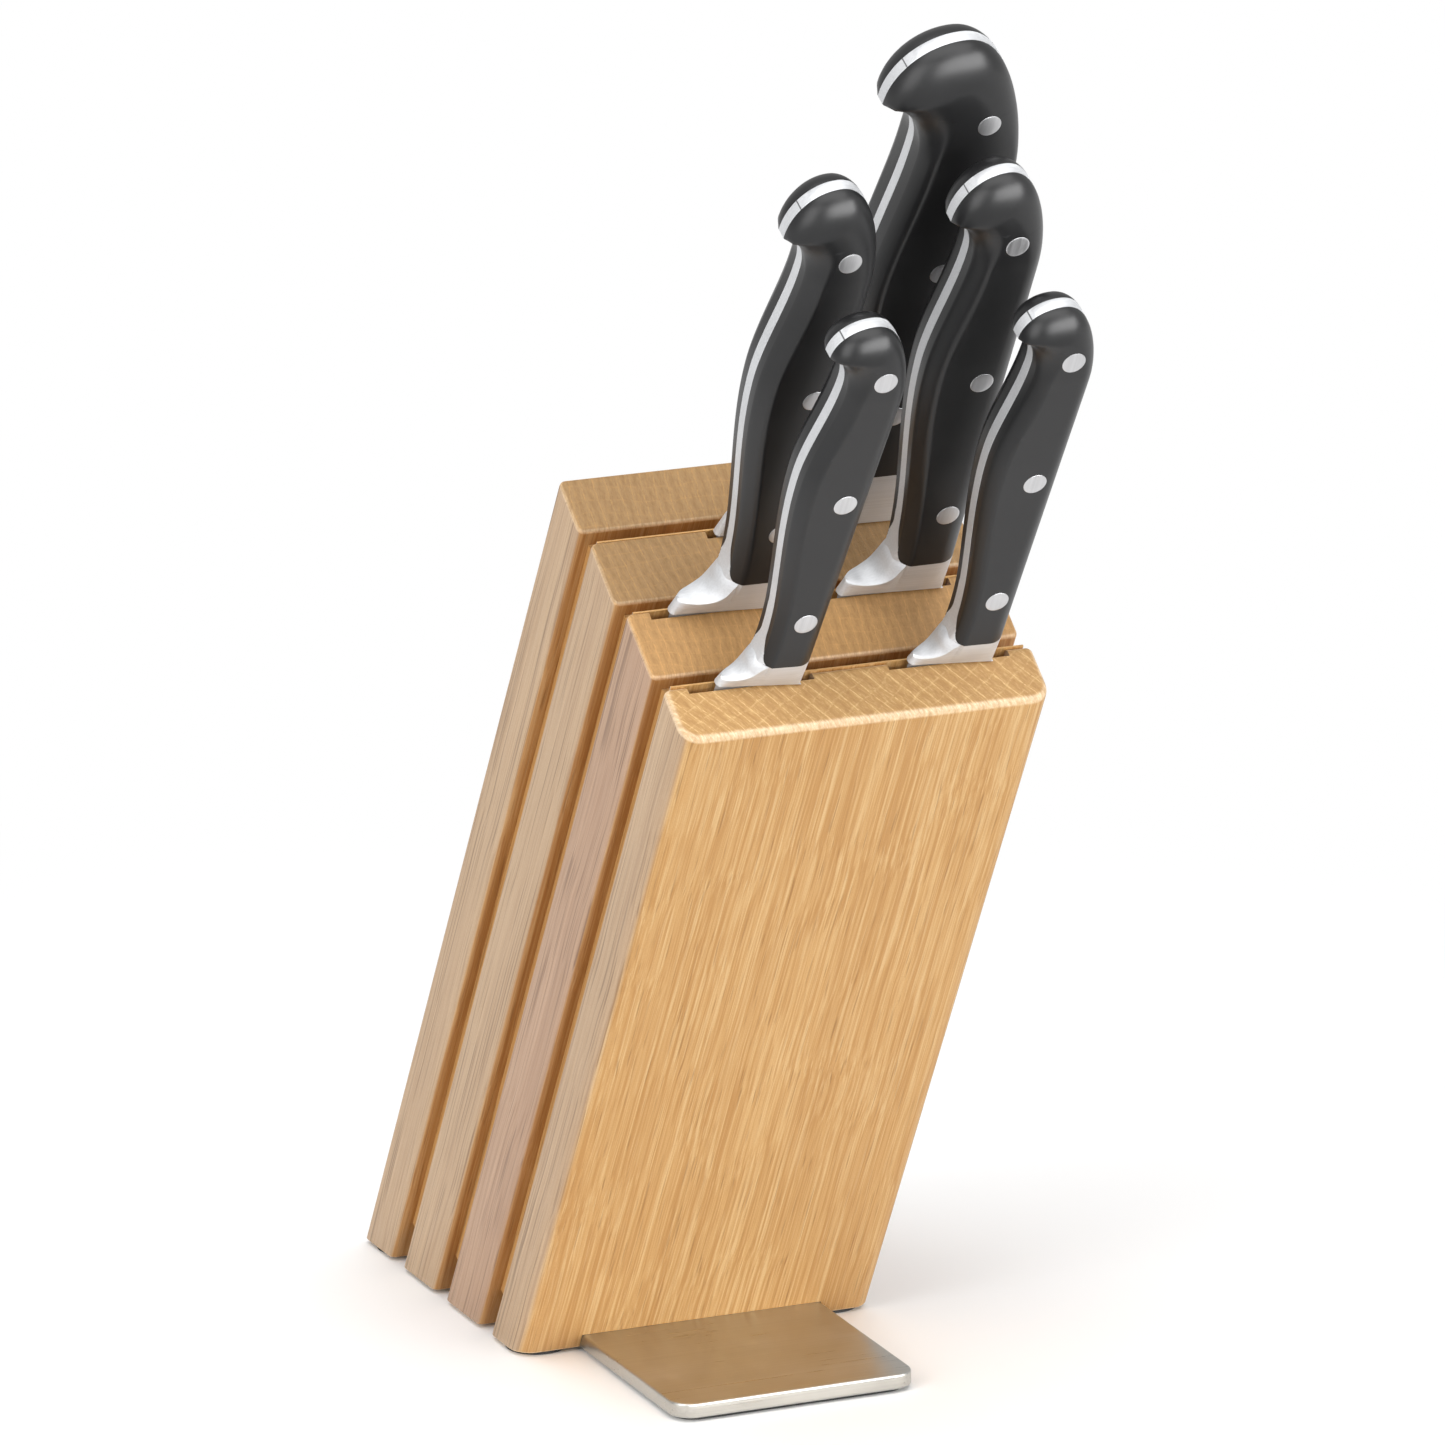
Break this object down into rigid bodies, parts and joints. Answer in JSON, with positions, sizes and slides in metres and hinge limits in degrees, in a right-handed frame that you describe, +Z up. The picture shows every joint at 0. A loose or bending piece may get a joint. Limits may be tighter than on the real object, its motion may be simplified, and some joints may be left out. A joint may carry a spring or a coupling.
{
  "type": "knife block with knives",
  "caption": "Leaning block of spaced oak boards on a steel foot plate, holding riveted full-tang kitchen knives with hooked pommels in pockets behind the boards.",
  "frame": {"origin": "On the ground, at the middle of the front board's lower front edge; the underside of the plate pad lies in this plane.", "axes": "+Z up, front faces -Y, +X to the viewer's right seen from the front"},
  "size_m": [0.0826, 0.2182, 0.3069],
  "materials": {
    "oak": "oiled solid oak",
    "veneer": "thin oak veneer",
    "oak_dark": "oiled oak in shadow",
    "beech": "plain turned beech",
    "plate_steel": "brushed stainless steel",
    "screw_steel": "plain stainless steel",
    "pad": "matt black rubber",
    "blade_steel": "satin stainless steel",
    "handle": "satin black",
    "rivet_steel": "satin stainless steel"
  },
  "bodies": {
    "block": {"front_board": "oak", "second_board": "oak", "third_board": "oak", "rear_board": "oak", "front_lining": "veneer", "second_lining": "veneer", "third_lining": "veneer", "front_spacers": "oak_dark", "middle_spacers": "oak_dark", "rear_spacers": "oak_dark", "joint_dowels": "beech", "foot_plate": "plate_steel", "plate_screws": "screw_steel", "plate_pad": "pad", "foot_pads": "pad"},
    "paring": {"paring_blade": "blade_steel", "paring_front_scale": "handle", "paring_rear_scale": "handle", "paring_rivets": "rivet_steel"},
    "trimming": {"trimming_blade": "blade_steel", "trimming_front_scale": "handle", "trimming_rear_scale": "handle", "trimming_rivets": "rivet_steel"},
    "carving": {"carving_blade": "blade_steel", "carving_front_scale": "handle", "carving_rear_scale": "handle", "carving_rivets": "rivet_steel"},
    "slicing": {"slicing_blade": "blade_steel", "slicing_front_scale": "handle", "slicing_rear_scale": "handle", "slicing_rivets": "rivet_steel"},
    "chef": {"chef_blade": "blade_steel", "chef_front_scale": "handle", "chef_rear_scale": "handle", "chef_rivets": "rivet_steel"}
  },
  "joints": [
    {"name": "paring_draw", "type": "slide", "parent": "block", "child": "paring", "axis": [0, -0.4879, 0.8729], "range_m": [0, 0.1]},
    {"name": "trimming_draw", "type": "slide", "parent": "block", "child": "trimming", "axis": [0, -0.4879, 0.8729], "range_m": [0, 0.1]},
    {"name": "carving_draw", "type": "slide", "parent": "block", "child": "carving", "axis": [0, -0.4879, 0.8729], "range_m": [0, 0.165]},
    {"name": "slicing_draw", "type": "slide", "parent": "block", "child": "slicing", "axis": [0, -0.4879, 0.8729], "range_m": [0, 0.165]},
    {"name": "chef_draw", "type": "slide", "parent": "block", "child": "chef", "axis": [0, -0.4879, 0.8729], "range_m": [0, 0.21]}
  ]
}
